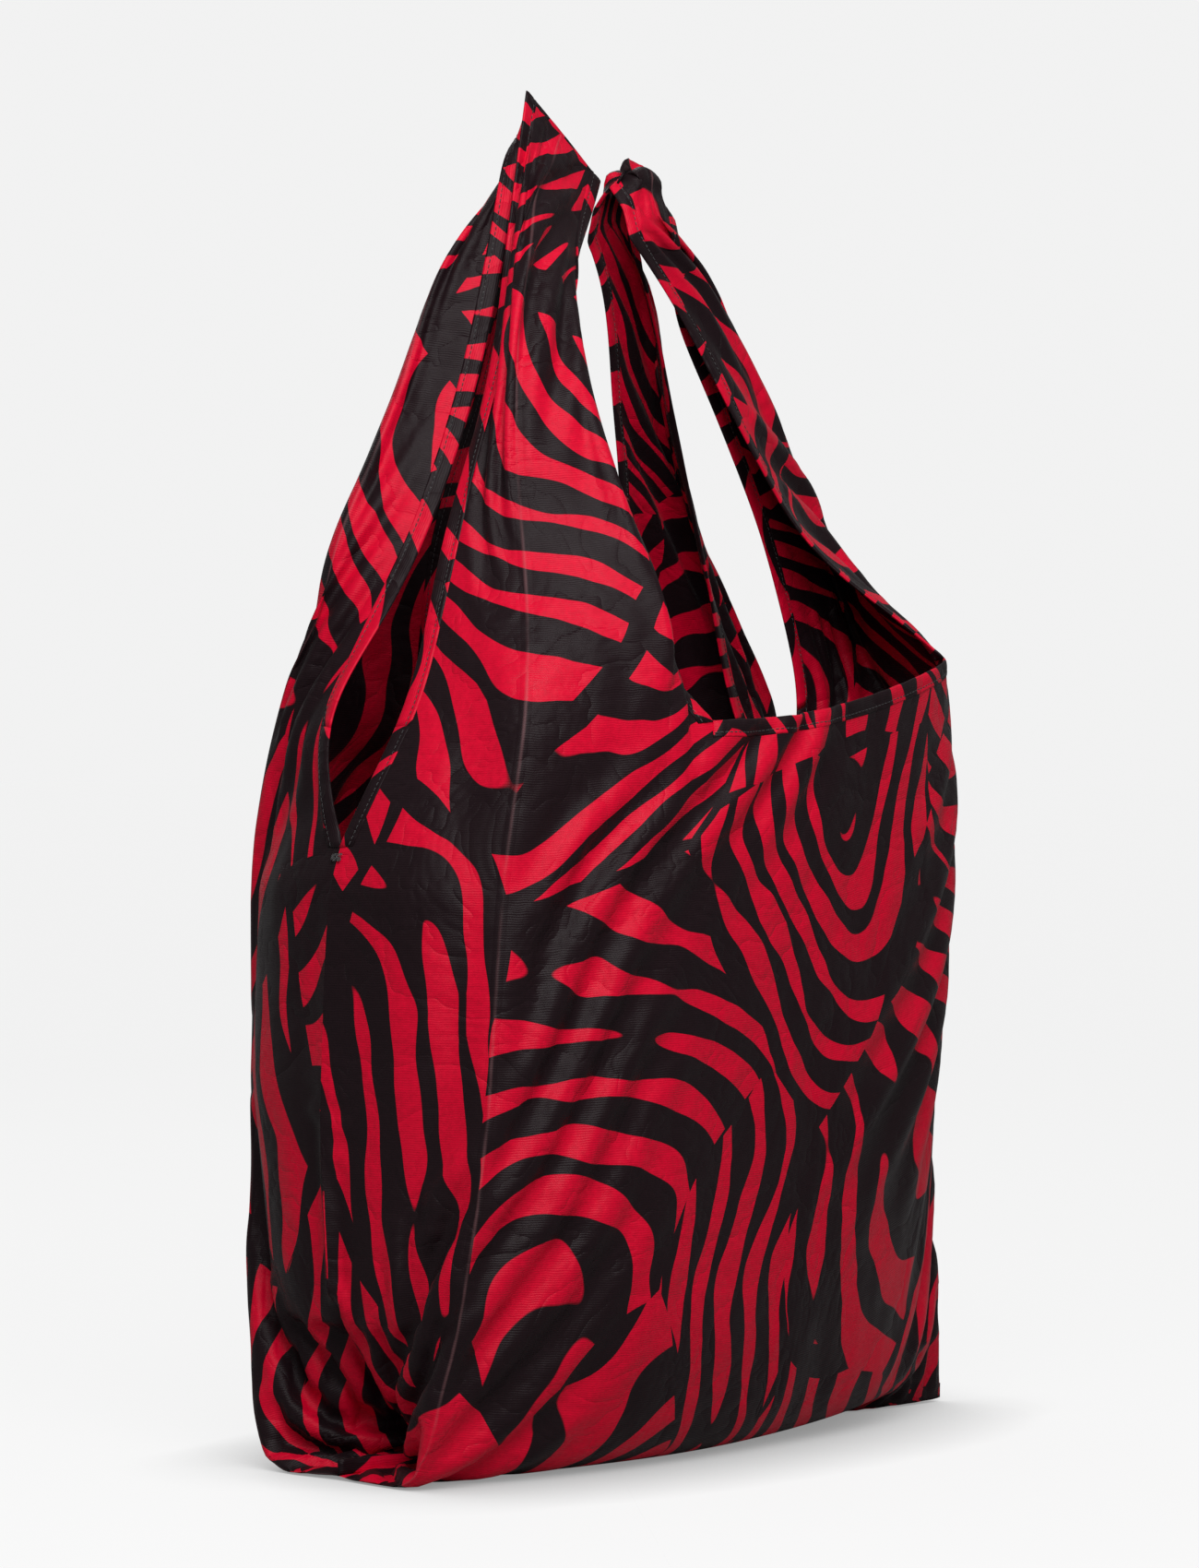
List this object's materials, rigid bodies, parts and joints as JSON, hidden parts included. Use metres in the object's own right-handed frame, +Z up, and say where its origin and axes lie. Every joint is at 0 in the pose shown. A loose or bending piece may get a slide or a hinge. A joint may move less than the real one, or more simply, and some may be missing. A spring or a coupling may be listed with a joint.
{
  "type": "foldable tote bag",
  "caption": "Vest-shaped foldable shopping tote of thin printed polyester, standing filled with both handles held up.",
  "frame": {"origin": "middle of the base, on the surface that the bag stands on", "axes": "+Z up, X from left to right along the front face, front face towards -Y"},
  "size_m": [0.3882, 0.2158, 0.648],
  "materials": {
    "printed_cloth": "satin",
    "sewing_thread": "matte",
    "label_ribbon": "satin"
  },
  "bodies": {
    "root": {"back_mouth_hem": "printed_cloth", "back_panel": "printed_cloth", "bottom_seam": "printed_cloth", "care_label": "label_ribbon", "front_mouth_hem": "printed_cloth", "front_panel": "printed_cloth", "left_armhole_bar_tack": "sewing_thread", "left_armhole_hem": "printed_cloth", "left_side_seam": "printed_cloth", "right_armhole_bar_tack": "sewing_thread", "right_armhole_hem": "printed_cloth", "right_side_seam": "printed_cloth", "stow_pocket": "printed_cloth", "stow_pocket_hem": "printed_cloth"},
    "left_handle": {"left_back_armhole_edge_hem": "printed_cloth", "left_back_neck_hem": "printed_cloth", "left_back_strap": "printed_cloth", "left_front_armhole_edge_hem": "printed_cloth", "left_front_neck_hem": "printed_cloth", "left_front_strap": "printed_cloth", "left_handle_top_seam": "printed_cloth"},
    "right_handle": {"right_back_armhole_edge_hem": "printed_cloth", "right_back_neck_hem": "printed_cloth", "right_back_strap": "printed_cloth", "right_front_armhole_edge_hem": "printed_cloth", "right_front_neck_hem": "printed_cloth", "right_front_strap": "printed_cloth", "right_handle_top_seam": "printed_cloth"}
  },
  "joints": [
    {"name": "left_handle_fold", "type": "hinge", "parent": "root", "child": "left_handle", "pos_m": [-0.1885, 0, 0.3502], "axis": [0, -1, 0], "range_deg": [0, 80]},
    {"name": "right_handle_fold", "type": "hinge", "parent": "root", "child": "right_handle", "pos_m": [0.1885, 0, 0.3502], "axis": [0, 1, 0], "range_deg": [0, 80]}
  ]
}
